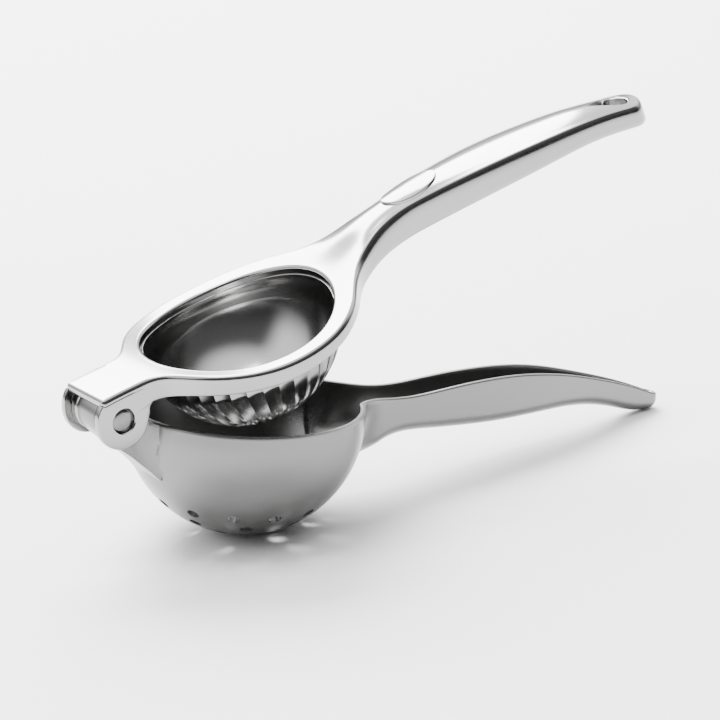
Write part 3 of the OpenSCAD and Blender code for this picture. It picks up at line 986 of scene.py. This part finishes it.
class PRESS_OT_press_cup(Build):
    """Press cup: smooth inside and fluted outside, set in the ring"""

    bl_idname = "press.press_cup"
    bl_label = "Press cup"

    def build(self, s, steels):
        c, u, shape = s.press_cup, s.upper_lever, LeverShape(s)
        r = u.opening - 0.03
        ball = (r * r + c.dome**2) / (2 * c.dome)
        high = ball - c.dome - c.side
        sides = c.flutes * 10
        widest = math.asin(r / ball)
        a = widest * np.linspace(1, 0.012, 46)
        dome = np.column_stack([ball * np.sin(a), high - ball * np.cos(a)])
        start = np.arange(sides) * 2 * math.pi / sides
        rim = shape.edge_line(u.reach + r * np.cos(start)) - c.seam
        ups = np.linspace(1, 0, 14)
        rows, masks = [], []

        def ring(radius, z, mask):
            z = np.broadcast_to(z, start.shape)
            rows.append(np.column_stack([radius * np.cos(start), radius * np.sin(start), z]))
            masks.append(np.full(sides, mask))

        inner, thin = r - c.wall, 0.3
        for k in np.linspace(0, math.pi, 7):
            ring(r - thin / 2 - thin / 2 * math.cos(k), rim - 0.35 + thin / 2 * math.sin(k), 0)
        for t in ups[1:]:
            ring(r, -c.side + (rim - 0.35 + c.side) * t, float(ease(0.55, 0.3, t)))
        fade = ease(0.02, 0.16, a / widest)
        for (x, z), f in zip(dome[1:], fade[1:]):
            ring(x, z, float(f))
        ring(0, high - ball, 0)
        ball_in = ball - c.wall
        wide_in = math.asin(inner / ball_in)
        b = wide_in * np.linspace(0, 1, 40)
        low_in = high - ball_in * math.cos(wide_in)
        for k in b:
            ring(ball_in * math.sin(k), high - ball_in * math.cos(k), 0)
        for t in ups[::-1][1:-1]:
            ring(inner + (c.wall - thin) * ease(0.45, 1, t), low_in + (rim - 0.35 - low_in) * t, 0)
        skin = Skin()
        rows = np.array(rows)
        skin.grid(np.concatenate([rows, rows[:1]]), closed=True)
        me = skin.mesh("press_cup_plain", Matrix.Identity(4))
        mask = me.attributes.new("flute", "FLOAT", "POINT")
        table = {tuple(np.round(p, 2)): m for p, m in zip(rows.reshape(-1, 3), np.concatenate(masks))}
        co = np.zeros(len(me.vertices) * 3)
        me.vertices.foreach_get("co", co)
        co = co.reshape(-1, 3) / MM
        mask.data.foreach_set("value", [table.get(tuple(np.round(p, 2)), 0.0) for p in co])
        values = {"Flutes": c.flutes, "Depth": c.flute_depth * MM, "Steel": steels["bright"]}
        made = run_nodes(me, flutes_tree(), values)
        made.name = "press_cup_fluted"
        set_down(made, upper_place(s) @ Matrix.Translation((u.reach, 0, 0)))
        piece(made, [steels["bright"]], "upper_lever", "polished_steel", "press_cup", crease=32)


class PRESS_OT_badge(Build):
    """Oval badge on the grip, with a rounded edge and no marks"""

    bl_idname = "press.badge"
    bl_label = "Badge"

    def build(self, s, steels):
        b, shape = s.badge, LeverShape(s)
        a = np.linspace(0, 2 * math.pi, 97)[:-1]
        rows = []
        long, wide = b.length / 2, b.width / 2
        round_ = 0.3

        def ring(inset, rise, flat=1.0):
            x = b.at + (long - inset) * np.cos(a) * flat
            y = (wide - inset) * np.sin(a) * flat
            rows.append(np.column_stack([x, y, shape.top(x, y) + rise]))

        ring(0, -0.5)
        ring(0, b.proud - round_)
        for k in np.linspace(0, math.pi / 2, 6)[1:]:
            ring(round_ * (1 - math.cos(k)), b.proud - round_ * (1 - math.sin(k)))
        for f in (0.94, 0.85, 0.7, 0.5, 0.25, 0.0):
            ring(round_, b.proud, f)
        under = float(shape.top(np.array(b.at), np.array(0.0))) - 0.5
        rows.append(rows[0] * 0 + [b.at, 0, under])
        rows.append(rows[0])
        me = Skin().grid(np.array(rows), closed=True).mesh("badge_oval", upper_place(s))
        piece(me, [steels["polished"]], "upper_lever", "polished_steel", "badge_plate")


# ------------------------------------------------------------------------ hinge


class PRESS_OT_hinge(Build):
    """Hinge: pin, two collars and the knuckle that grows out of the strainer cup"""

    bl_idname = "press.hinge"
    bl_label = "Hinge"

    def build(self, s, steels):
        h, u = s.hinge, s.upper_lever
        half = u.neck - h.recess
        soft = corner((h.pin - 0.4, half - 0.4), 0.4, 0, 90, 4)
        domed = [(h.pin * k, half + 0.5 * (1 - k * k)) for k in (0, 0.2, 0.4, 0.6, 0.8)]
        profile = domed + soft[::-1]
        profile += [(r, -z) for r, z in profile[::-1]]
        lying = Matrix.Rotation(math.radians(90), 4, "X")
        place = upper_place(s) @ lying
        me = Skin().grid(around(profile, 72), closed=True).mesh("hinge_pin_turned", place)
        piece(me, [steels["turned"]], "upper_lever", "turned_steel", "hinge_pin")

        near, far, e = h.half_width + 0.1, u.neck - u.wall, 0.7
        low = corner((h.barrel - e, near + e), e, -90, 0, 5)
        high = corner((h.barrel - e, far - e), e, 0, 90, 5)
        loop = [(h.pin, near), *low, *high, (h.pin, far), (h.pin, near)]
        for sign, node in ((1, "near_collar"), (-1, "far_collar")):
            ring = [(r, z * sign) for r, z in loop]
            me = Skin().grid(around(ring, 72), closed=True).mesh(node + "_ring", place)
            piece(me, [steels["polished"]], "upper_lever", "polished_steel", node)
        me = self.knuckle(s).mesh("hinge_knuckle_lug", lower_place(s))
        piece(me, [steels["satin"]], "lower_lever", "satin_steel", "hinge_knuckle", crease=60)

    def knuckle(self, s):
        """Barrel and lug in one: the lug widens as it meets the cup."""
        h, c = s.hinge, s.strainer
        x0, z0 = pin_spot(s).x, pin_spot(s).z
        bar = h.barrel
        arc = corner((0, 0), bar, 62, 232, 44)
        lug = Line([(0, *arc[-1]), (1, -1.2, -8.2), (2, 3.0, -11.3), (3, 7.2, -14.2), (4, 13.6, -19.6)])
        below = [tuple(p) for p in lug(np.linspace(0, 4, 22)[1:])]
        inside = [(16.0, v) for v in np.linspace(-22, -4, 12)]
        above = [(14.0, -3.4), (11.6, -2.6), (10.0, -1.2), (8.4, 1.2), (6.6, 3.6), (5.0, 5.2)]
        outline = np.array(arc + below + inside + above)
        away = unit(outline)
        far = np.linalg.norm(outline, axis=1)
        bore = h.pin + h.play
        rows = []
        edge, fillet = 0.6, 5.0

        def shape_row(k, inset, narrow, sign):
            r = bore + (far - inset - bore) * k
            p = away * r[:, None]
            centred = np.column_stack([p[:, 0] + x0, np.minimum(p[:, 1] + z0 + c.band, 0)])
            flat = np.linalg.norm(centred, axis=1)
            wide = np.full(len(p), h.half_width - narrow)
            for _ in range(4):
                gap = np.hypot(flat, wide) - c.radius
                close = np.clip(fillet - gap, 0, fillet)
                wide = h.half_width - narrow + fillet - np.sqrt(fillet**2 - close**2)
            sunk = np.sqrt((c.radius - 0.7) ** 2 - wide**2)
            y = wide * sign
            q = p + unit(centred) * np.clip(sunk - flat, 0, None)[:, None]
            rows.append(np.column_stack([x0 + q[:, 0], y, z0 + q[:, 1]]))

        steps = [(k, edge, 0.0) for k in np.linspace(0, 1, 14)]
        for a in np.linspace(0, math.pi / 2, 5)[1:]:
            steps.append((1, edge * (1 - math.sin(a)), edge * (1 - math.cos(a))))
        for sign, path in ((-1, steps), (1, steps[::-1])):
            for k, inset, narrow in path:
                shape_row(k, inset, narrow, sign)
        rows.append(rows[0])
        return Skin().grid(np.array(rows), closed=True)


# ------------------------------------------------------------------------ stage


class PRESS_OT_stage(Build):
    """Pale floor, soft studio light and the camera"""

    bl_idname = "press.stage"
    bl_label = "Stage"

    def build(self, s, steels):
        st = s.stage
        m, t = new_material("pale_floor")
        place = t.node("ShaderNodeTexCoord", out="Object")
        haze = t.node("ShaderNodeTexNoise", {}, {"Vector": place, "Scale": 3.0, "Detail": 2.0})
        c = st.floor
        tint = t.node(
            "ShaderNodeValToRGB",
            {"stops": [(0.0, (c[0] * 0.985, c[1] * 0.985, c[2] * 0.985, 1)), (1.0, (*c, 1))]},
            {"Fac": haze},
        )
        bsdf = t.node("ShaderNodeBsdfPrincipled", {}, {"Base Color": tint, "Roughness": 0.75})
        t.node("ShaderNodeOutputMaterial", {}, {"Surface": bsdf})
        me = bpy.data.meshes.new("floor")
        w = 4.0
        z = -0.05 * MM
        me.from_pydata([(-w, -w, z), (w, -w, z), (w, w, z), (-w, w, z)], [], [(0, 1, 2, 3)])
        me.materials.append(m)
        floor = bpy.data.objects.new("floor", me)
        bpy.context.scene.collection.objects.link(floor)
        self.sky(st)
        self.lamps()
        self.camera(st)

    def sky(self, st):
        """A bright room with a dark wall behind the camera."""
        world = bpy.data.worlds.new("Studio")
        world.use_nodes = True
        bpy.context.scene.world = world
        world.node_tree.nodes.clear()
        t = Tree(world.node_tree)
        place = t.node("ShaderNodeTexCoord", out="Generated")
        _, across, height = t.split(place)

        def slope(value, a, b, low, high):
            limits = {"Value": value, "From Min": a, "From Max": b, "To Min": low, "To Max": high}
            return t.node("ShaderNodeMapRange", {"interpolation_type": "SMOOTHSTEP"}, limits)

        near = slope(across, 0.1, -0.35, 0.0, 1.0)
        wall = slope(height, 0.92, 0.66, 0.0, 1.0)
        room = slope(height, 0.05, 0.5, st.horizon, st.room)
        level = room * (1 - near * wall * (1 - st.wall))
        background = t.node("ShaderNodeBackground", {}, {"Color": (1, 1, 1, 1), "Strength": level})
        t.node("ShaderNodeOutputWorld", {}, {"Surface": background})

    def lamps(self):
        middle = Vector((0.04, 0, 0.03))
        for name, at, width, power in (
            ("key", (0.30, 0.85, 1.0), 0.95, 78.0),
            ("overhead", (-0.25, 0.1, 1.4), 0.5, 14.0),
        ):
            lamp = bpy.data.lights.new(name, "AREA")
            lamp.shape, lamp.size, lamp.energy = "SQUARE", width, power
            ob = bpy.data.objects.new(name, lamp)
            ob.location = at
            ob.rotation_euler = (middle - Vector(at)).to_track_quat("-Z", "Y").to_euler()
            bpy.context.scene.collection.objects.link(ob)

    def camera(self, st):
        data = bpy.data.cameras.new("camera")
        data.lens, data.sensor_width, data.clip_end = st.lens, 36.0, 50.0
        target, distance, data.shift_y = Vector((0.0424, 0, 0.0293)), 1.5, 0.0601
        a, e = st.azimuth, st.elevation
        back = Vector((math.sin(a) * math.cos(e), -math.cos(a) * math.cos(e), math.sin(e)))
        ob = bpy.data.objects.new("camera", data)
        aim = Matrix.Rotation(-st.roll, 4, "Z")
        spot = Matrix.Translation(target + back * distance)
        ob.matrix_world = spot @ (-back).to_track_quat("-Z", "Y").to_matrix().to_4x4() @ aim
        bpy.context.scene.collection.objects.link(ob)
        bpy.context.scene.camera = ob


PIECES = (PRESS_OT_strainer_cup, PRESS_OT_lower_handle, PRESS_OT_upper_lever, PRESS_OT_press_cup,
          PRESS_OT_badge, PRESS_OT_hinge, PRESS_OT_stage)


class PRESS_PT_sidebar(bpy.types.Panel):
    """Lists the pieces of the press and their sizes"""

    bl_idname = "PRESS_PT_sidebar"
    bl_label = "Citrus press"
    bl_space_type = "VIEW_3D"
    bl_region_type = "UI"
    bl_category = "Citrus press"

    def draw(self, context):
        s = context.scene.citrus_press
        for name in s.bl_rna.properties.keys():
            group = getattr(s, name)
            if isinstance(group, bpy.types.PropertyGroup):
                box = self.layout.box()
                box.label(text=s.bl_rna.properties[name].name)
                for item in group.__annotations__:
                    box.prop(group, item)
        for kind in PIECES:
            self.layout.operator(kind.bl_idname)


GROUPS = (PRESS_PG_strainer, PRESS_PG_lower_handle, PRESS_PG_upper_lever, PRESS_PG_press_cup,
          PRESS_PG_hinge, PRESS_PG_badge, PRESS_PG_finish, PRESS_PG_stage, PRESS_PG_all)


def register():
    for kind in (*GROUPS, *PIECES, PRESS_PT_sidebar):
        bpy.utils.register_class(kind)
    bpy.types.Scene.citrus_press = PointerProperty(type=PRESS_PG_all)


def unregister():
    del bpy.types.Scene.citrus_press
    for kind in (PRESS_PT_sidebar, *PIECES[::-1], *GROUPS[::-1]):
        bpy.utils.unregister_class(kind)


def main():
    register()
    bpy.ops.press.strainer_cup()
    bpy.ops.press.lower_handle()
    bpy.ops.press.upper_lever()
    bpy.ops.press.press_cup()
    bpy.ops.press.badge()
    bpy.ops.press.hinge()
    bpy.ops.press.stage()


if __name__ == "__main__":
    main()
